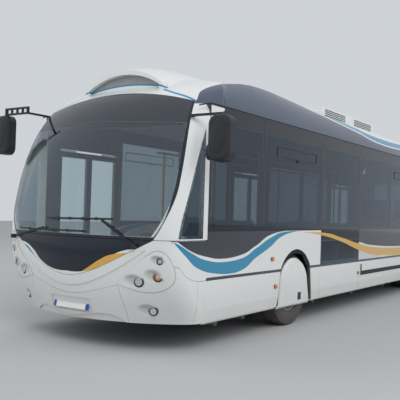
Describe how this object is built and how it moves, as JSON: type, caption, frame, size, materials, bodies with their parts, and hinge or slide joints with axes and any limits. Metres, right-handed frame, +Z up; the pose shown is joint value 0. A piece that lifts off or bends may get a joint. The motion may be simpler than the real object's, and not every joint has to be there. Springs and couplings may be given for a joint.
{
  "type": "city bus",
  "caption": "low floor city bus with a round raked nose, inward gliding double doors, covered front wheels and twin rear wheels",
  "frame": {"origin": "on the ground below the middle of the bus, mirrors included", "axes": "+Z up, nose towards -Y, the driver sits on the +X side and the doors are on the -X side"},
  "size_m": [3.35, 12.113, 3.2382],
  "materials": {
    "glass_clear": "gloss",
    "glass_dark": "gloss",
    "white_paint": "gloss",
    "slate_paint": "gloss",
    "black_gloss": "gloss",
    "black_matte": "matte",
    "floor_cover": "matte",
    "interior_grey": "matte",
    "seat_cloth": "matte",
    "rail_yellow": "gloss",
    "steel": "satin",
    "cast": "matte",
    "chassis_paint": "satin",
    "rim_paint": "satin",
    "tyre_rubber": "matte",
    "lamp_clear": "gloss",
    "lamp_red": "gloss"
  },
  "bodies": {
    "body": {"windscreen": "glass_clear", "windscreen_frame": "white_paint", "front_roof_cap": "white_paint", "front_mask": "black_gloss", "nose_panel": "white_paint", "lamp_panels": "white_paint", "front_bumper": "white_paint", "left_wall": "slate_paint", "right_wall": "slate_paint", "skirts": "white_paint", "floor": "floor_cover", "wheel_housings": "black_matte", "roof": "white_paint", "roof_fairings": "slate_paint", "rear_shell": "white_paint", "rear_lamps": "lamp_red", "windows": "glass_dark", "rear_bumper": "white_paint", "rear_roof_cap": "white_paint", "front_axle": "cast", "rear_axle": "cast", "chassis": "chassis_paint", "engine": "cast", "dashboard": "black_matte", "driver_seat": "seat_cloth", "cab_partition": "interior_grey", "passenger_seats": "seat_cloth", "handrails": "rail_yellow", "front_lamps": "lamp_clear", "left_mirror": "slate_paint", "right_mirror": "black_matte", "wipers": "black_matte", "destination_sign": "black_gloss", "roof_units": "white_paint"},
    "front_fore_arms": {"front_door_fore_arms": "steel"},
    "front_fore_leaf": {"front_door_fore_leaf": "black_gloss"},
    "front_aft_arms": {"front_door_aft_arms": "steel"},
    "front_aft_leaf": {"front_door_aft_leaf": "black_gloss"},
    "middle_fore_arms": {"middle_door_fore_arms": "steel"},
    "middle_fore_leaf": {"middle_door_fore_leaf": "black_gloss"},
    "middle_aft_arms": {"middle_door_aft_arms": "steel"},
    "middle_aft_leaf": {"middle_door_aft_leaf": "black_gloss"},
    "rear_fore_arms": {"rear_door_fore_arms": "steel"},
    "rear_fore_leaf": {"rear_door_fore_leaf": "black_gloss"},
    "rear_aft_arms": {"rear_door_aft_arms": "steel"},
    "rear_aft_leaf": {"rear_door_aft_leaf": "black_gloss"},
    "left_knuckle": {"left_knuckle": "cast", "left_front_wheel_cover": "white_paint"},
    "front_left_wheel": {"front_left_wheel": "rim_paint", "front_left_tyre": "tyre_rubber"},
    "rear_left_wheels": {"rear_left_wheels": "rim_paint", "rear_left_tyres": "tyre_rubber"},
    "right_knuckle": {"right_knuckle": "cast", "right_front_wheel_cover": "white_paint"},
    "front_right_wheel": {"front_right_wheel": "rim_paint", "front_right_tyre": "tyre_rubber"},
    "rear_right_wheels": {"rear_right_wheels": "rim_paint", "rear_right_tyres": "tyre_rubber"},
    "steering_wheel": {"steering_wheel": "black_matte"},
    "engine_hatch": {"engine_hatch": "white_paint"}
  },
  "joints": [
    {"name": "front_fore_arm_swing", "type": "hinge", "parent": "body", "child": "front_fore_arms", "pos_m": [-1.255, -5.026, 0.35], "axis": [0, 0, -1], "range_deg": [0, 88]},
    {"name": "front_fore_leaf_turn", "type": "hinge", "parent": "front_fore_arms", "child": "front_fore_leaf", "pos_m": [-1.255, -4.7605, 0.35], "axis": [0, 0, -1], "range_deg": [-176, 0]},
    {"name": "front_aft_arm_swing", "type": "hinge", "parent": "body", "child": "front_aft_arms", "pos_m": [-1.255, -3.964, 0.35], "axis": [0, 0, 1], "range_deg": [0, 88]},
    {"name": "front_aft_leaf_turn", "type": "hinge", "parent": "front_aft_arms", "child": "front_aft_leaf", "pos_m": [-1.255, -4.2295, 0.35], "axis": [0, 0, 1], "range_deg": [-176, 0]},
    {"name": "middle_fore_arm_swing", "type": "hinge", "parent": "body", "child": "middle_fore_arms", "pos_m": [-1.255, -0.701, 0.35], "axis": [0, 0, -1], "range_deg": [0, 88]},
    {"name": "middle_fore_leaf_turn", "type": "hinge", "parent": "middle_fore_arms", "child": "middle_fore_leaf", "pos_m": [-1.255, -0.393, 0.35], "axis": [0, 0, -1], "range_deg": [-176, 0]},
    {"name": "middle_aft_arm_swing", "type": "hinge", "parent": "body", "child": "middle_aft_arms", "pos_m": [-1.255, 0.531, 0.35], "axis": [0, 0, 1], "range_deg": [0, 88]},
    {"name": "middle_aft_leaf_turn", "type": "hinge", "parent": "middle_aft_arms", "child": "middle_aft_leaf", "pos_m": [-1.255, 0.223, 0.35], "axis": [0, 0, 1], "range_deg": [-176, 0]},
    {"name": "rear_fore_arm_swing", "type": "hinge", "parent": "body", "child": "rear_fore_arms", "pos_m": [-1.255, 3.864, 0.35], "axis": [0, 0, -1], "range_deg": [0, 88]},
    {"name": "rear_fore_leaf_turn", "type": "hinge", "parent": "rear_fore_arms", "child": "rear_fore_leaf", "pos_m": [-1.255, 4.157, 0.35], "axis": [0, 0, -1], "range_deg": [-176, 0]},
    {"name": "rear_aft_arm_swing", "type": "hinge", "parent": "body", "child": "rear_aft_arms", "pos_m": [-1.255, 5.036, 0.35], "axis": [0, 0, 1], "range_deg": [0, 88]},
    {"name": "rear_aft_leaf_turn", "type": "hinge", "parent": "rear_aft_arms", "child": "rear_aft_leaf", "pos_m": [-1.255, 4.743, 0.35], "axis": [0, 0, 1], "range_deg": [-176, 0]},
    {"name": "left_steer", "type": "hinge", "parent": "body", "child": "left_knuckle", "pos_m": [0.955, -3.125, 0.478], "axis": [0, 0, 1], "range_deg": [-45, 45]},
    {"name": "front_left_roll", "type": "hinge", "parent": "left_knuckle", "child": "front_left_wheel", "pos_m": [1.072, -3.125, 0.478], "axis": [1, 0, 0], "continuous": true},
    {"name": "rear_left_roll", "type": "hinge", "parent": "body", "child": "rear_left_wheels", "pos_m": [0.923, 2.995, 0.478], "axis": [1, 0, 0], "continuous": true},
    {"name": "right_steer", "type": "hinge", "parent": "body", "child": "right_knuckle", "pos_m": [-0.955, -3.125, 0.478], "axis": [0, 0, 1], "range_deg": [-45, 45]},
    {"name": "front_right_roll", "type": "hinge", "parent": "right_knuckle", "child": "front_right_wheel", "pos_m": [-1.072, -3.125, 0.478], "axis": [1, 0, 0], "continuous": true},
    {"name": "rear_right_roll", "type": "hinge", "parent": "body", "child": "rear_right_wheels", "pos_m": [-0.923, 2.995, 0.478], "axis": [1, 0, 0], "continuous": true},
    {"name": "steering_wheel_turn", "type": "hinge", "parent": "body", "child": "steering_wheel", "pos_m": [0.56, -5.18, 1.12], "axis": [0, 0.4226, 0.9063], "range_deg": [-720, 720]},
    {"name": "engine_hatch_lift", "type": "hinge", "parent": "body", "child": "engine_hatch", "pos_m": [0, 6.025, 1.334], "axis": [1, 0, 0], "range_deg": [0, 90]}
  ],
  "couplings": [
    {"joint": "front_fore_leaf_turn", "follows": "front_fore_arm_swing", "ratio": -2},
    {"joint": "front_aft_arm_swing", "follows": "front_fore_arm_swing", "ratio": 1},
    {"joint": "front_aft_leaf_turn", "follows": "front_fore_arm_swing", "ratio": -2},
    {"joint": "middle_fore_leaf_turn", "follows": "middle_fore_arm_swing", "ratio": -2},
    {"joint": "middle_aft_arm_swing", "follows": "middle_fore_arm_swing", "ratio": 1},
    {"joint": "middle_aft_leaf_turn", "follows": "middle_fore_arm_swing", "ratio": -2},
    {"joint": "rear_fore_leaf_turn", "follows": "rear_fore_arm_swing", "ratio": -2},
    {"joint": "rear_aft_arm_swing", "follows": "rear_fore_arm_swing", "ratio": 1},
    {"joint": "rear_aft_leaf_turn", "follows": "rear_fore_arm_swing", "ratio": -2},
    {"joint": "right_steer", "follows": "left_steer", "ratio": 1},
    {"joint": "steering_wheel_turn", "follows": "left_steer", "ratio": 16}
  ]
}
